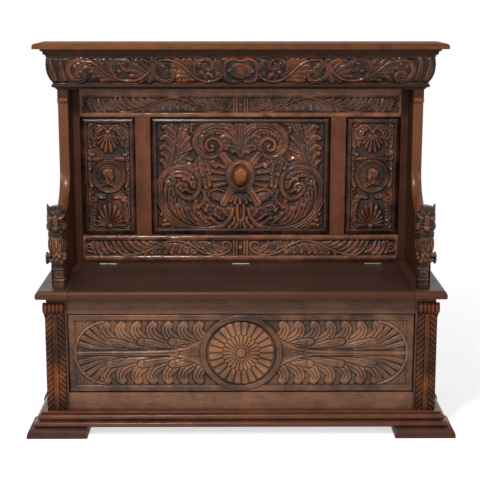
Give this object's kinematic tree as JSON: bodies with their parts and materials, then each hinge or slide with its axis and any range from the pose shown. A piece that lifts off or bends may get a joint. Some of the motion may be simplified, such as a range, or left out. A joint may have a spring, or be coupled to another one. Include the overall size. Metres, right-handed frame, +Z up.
{
  "type": "box settle",
  "caption": "Carved oak box settle: a framed chest with a hinged seat lid, a panelled back, shaped wings ending in carved arm figures, and a boxed cornice.",
  "frame": {"origin": "on the floor, under the middle of the settle's bounding box", "axes": "+X to the right seen from the front, -Y to the front, +Z up"},
  "size_m": [1.4, 0.512, 1.26],
  "materials": {
    "dark_oak": "dark stained oak, waxed",
    "carved_oak": "dark stained carved oak, rubbed lighter on the high parts",
    "plain_oak": "unfinished inside oak",
    "bright_steel": "worn bright steel"
  },
  "bodies": {
    "root": {"foot_front_left": "dark_oak", "foot_front_right": "dark_oak", "foot_rear_left": "dark_oak", "foot_rear_right": "dark_oak", "base_front": "dark_oak", "base_left": "dark_oak", "base_right": "dark_oak", "side_panel_left": "dark_oak", "side_panel_right": "dark_oak", "post_front_left": "dark_oak", "post_front_right": "dark_oak", "post_rear_left": "dark_oak", "post_rear_right": "dark_oak", "front_top_rail": "dark_oak", "front_bottom_rail": "dark_oak", "side_top_rail_left": "dark_oak", "side_top_rail_right": "dark_oak", "side_bottom_rail_left": "dark_oak", "side_bottom_rail_right": "dark_oak", "seat_end_left": "dark_oak", "seat_end_right": "dark_oak", "seat_back_rail": "dark_oak", "back_stile_left": "dark_oak", "back_stile_right": "dark_oak", "muntin_left": "dark_oak", "muntin_right": "dark_oak", "wing_left": "dark_oak", "wing_right": "dark_oak", "wing_edge_left": "dark_oak", "wing_edge_right": "dark_oak", "frieze_bead": "dark_oak", "cornice_moulding": "dark_oak", "cornice_top": "dark_oak", "cornice_soffit": "dark_oak", "front_panel": "carved_oak", "console_left": "carved_oak", "console_right": "carved_oak", "back_bottom_rail": "carved_oak", "back_top_rail": "carved_oak", "back_panel_middle": "carved_oak", "back_panel_left": "carved_oak", "back_panel_right": "carved_oak", "centre_boss": "carved_oak", "arm_figure_left": "carved_oak", "arm_figure_right": "carved_oak", "frieze_front": "carved_oak", "frieze_left": "carved_oak", "frieze_right": "carved_oak", "chest_back": "plain_oak", "chest_floor": "plain_oak", "hinge_fixed_leaf_left": "bright_steel", "hinge_pin_left": "bright_steel", "hinge_fixed_leaf_middle": "bright_steel", "hinge_pin_middle": "bright_steel", "hinge_fixed_leaf_right": "bright_steel", "hinge_pin_right": "bright_steel"},
    "lid": {"seat_lid": "dark_oak", "hinge_lid_leaf_left": "bright_steel", "hinge_lid_leaf_middle": "bright_steel", "hinge_lid_leaf_right": "bright_steel"}
  },
  "joints": [
    {"name": "lid_hinge", "type": "hinge", "parent": "root", "child": "lid", "pos_m": [0, 0.175, 0.4862], "axis": [-1, 0, 0], "range_deg": [0, 92]}
  ]
}
